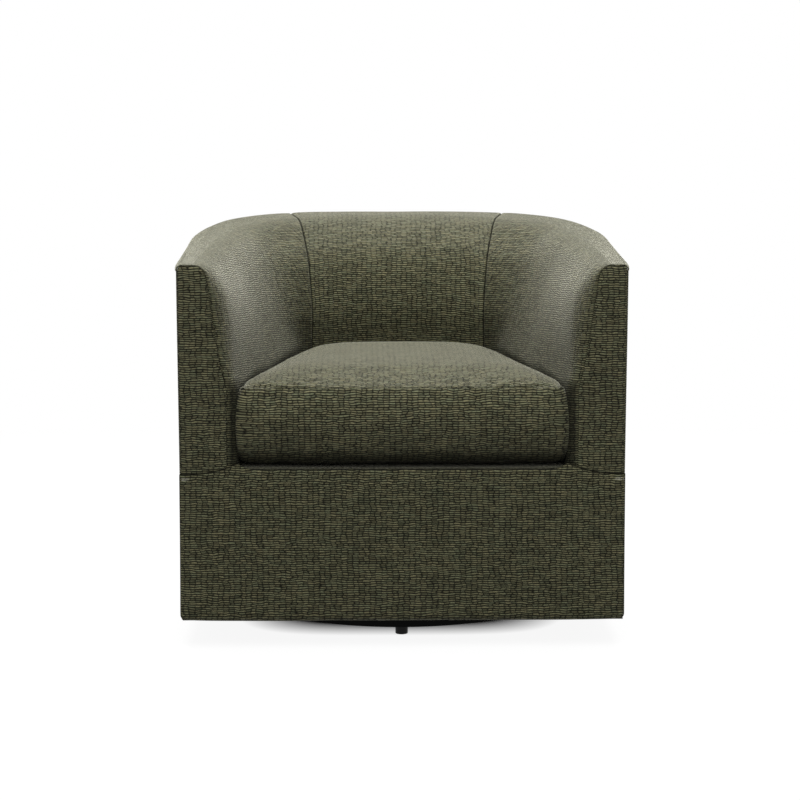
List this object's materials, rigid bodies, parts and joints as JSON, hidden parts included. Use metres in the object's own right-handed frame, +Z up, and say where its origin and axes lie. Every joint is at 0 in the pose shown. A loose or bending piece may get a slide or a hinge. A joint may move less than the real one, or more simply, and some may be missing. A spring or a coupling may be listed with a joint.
{
  "type": "swivel chair",
  "caption": "Low barrel armchair in woven cloth with a loose box cushion, on a concealed black ring base that lets it turn all the way round.",
  "frame": {"origin": "on the floor under the swivel axis, at the centre of the chair's plan", "axes": "+Z up along the swivel axis, -Y the way the chair faces, +X to the right of someone looking at its front"},
  "size_m": [0.79, 0.8, 0.7215],
  "materials": {
    "olive_cloth": "matte",
    "foam": "matte",
    "deck_felt": "matte",
    "deck_lining": "matte",
    "dust_cloth": "matte",
    "webbing": "matte",
    "liner_board": "matte",
    "plywood": "matte",
    "spring_steel": "satin",
    "zinc_steel": "satin",
    "black_steel": "satin",
    "black_nylon": "gloss"
  },
  "bodies": {
    "base": {"base_ring": "black_steel", "base_arms": "black_steel", "hub_plate": "black_steel", "lower_race": "zinc_steel", "bearing_balls": "zinc_steel", "ball_cage": "black_nylon", "race_screws": "zinc_steel", "pivot_pin": "zinc_steel", "pivot_washer": "zinc_steel", "pivot_nut": "zinc_steel", "glide_feet": "black_nylon", "glide_stems": "zinc_steel", "glide_nuts": "zinc_steel"},
    "chair": {"outside_cover_left": "olive_cloth", "outside_cover_right": "olive_cloth", "outside_cover_back": "olive_cloth", "inside_cover_left": "olive_cloth", "inside_cover_right": "olive_cloth", "inside_cover_back": "olive_cloth", "arm_pad_left": "foam", "arm_pad_right": "foam", "back_pad": "foam", "facing_left": "olive_cloth", "facing_right": "olive_cloth", "facing_pads": "foam", "front_border": "olive_cloth", "front_pad": "foam", "barrel_liner": "liner_board", "dust_cover": "dust_cloth", "bottom_front_rail": "plywood", "bottom_side_rails": "plywood", "bottom_back_rail": "plywood", "arm_top_rails": "plywood", "back_top_rail": "plywood", "front_posts": "plywood", "rear_posts": "plywood", "back_mid_rail": "plywood", "seat_front_rail": "plywood", "seat_side_rails": "plywood", "seat_back_rail": "plywood", "corner_blocks": "plywood", "seat_springs": "spring_steel", "spring_clips": "spring_steel", "spring_tie_wires": "spring_steel", "deck_cloth": "deck_lining", "deck_pad": "deck_felt", "deck_cover": "deck_lining", "back_webbing": "webbing", "swivel_board": "plywood", "board_cleats": "plywood", "swivel_top_plate": "black_steel", "swivel_bolts": "zinc_steel", "tee_nuts": "zinc_steel", "upper_race": "zinc_steel"},
    "cushion": {"cushion_core": "foam", "cushion_top_panel": "olive_cloth", "cushion_bottom_panel": "olive_cloth", "cushion_boxing": "olive_cloth", "cushion_zip": "black_nylon"}
  },
  "joints": [
    {"name": "seat_swivel", "type": "hinge", "parent": "base", "child": "chair", "pos_m": [0, 0, 0.05], "axis": [0, 0, 1], "continuous": true},
    {"name": "cushion_lift", "type": "slide", "parent": "chair", "child": "cushion", "axis": [0, -0.1045, 0.9945], "range_m": [0, 0.4]}
  ]
}
